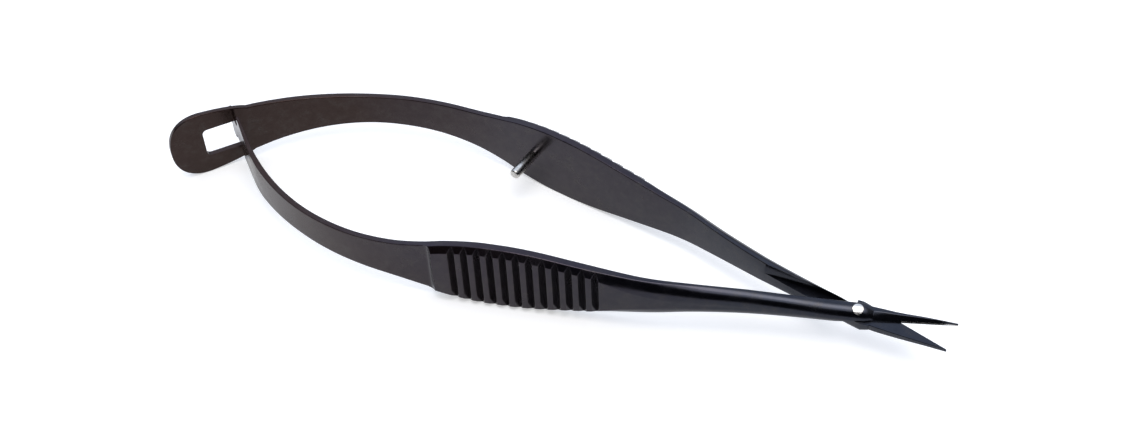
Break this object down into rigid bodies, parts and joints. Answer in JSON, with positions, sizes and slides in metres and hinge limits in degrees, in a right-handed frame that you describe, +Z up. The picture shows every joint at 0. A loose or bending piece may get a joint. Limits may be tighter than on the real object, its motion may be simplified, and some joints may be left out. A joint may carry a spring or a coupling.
{
  "type": "castroviejo scissors",
  "caption": "Black coated spring-handled eye surgery scissors with ribbed flat grips, a lap joint, short pointed blades and a hooked rear joint, standing open on their edges.",
  "frame": {"origin": "middle of the underside, on the plane that the lower edges of the handles stand on, halfway between the tail and the blade tips", "axes": "+X towards the blade tips, +Z up along the pivot axis, +Y towards the slotted arm"},
  "size_m": [0.1084, 0.0266, 0.0108],
  "materials": {
    "black_coat": "satin black coating on stainless steel",
    "bare_steel": "turned and ground bare stainless steel"
  },
  "bodies": {
    "slotted_half": {"slotted_arm": "black_coat", "pivot_screw": "bare_steel", "stop_pin": "bare_steel"},
    "hooked_half": {"hooked_arm": "black_coat"}
  },
  "joints": [
    {"name": "pivot", "type": "hinge", "parent": "slotted_half", "child": "hooked_half", "pos_m": [0.04211, 0, 0.0054], "axis": [0, 0, -1], "range_deg": [0, 19.1], "stiffness_Nm_per_rad": 0.15, "deforming": ["hooked_arm"]}
  ]
}
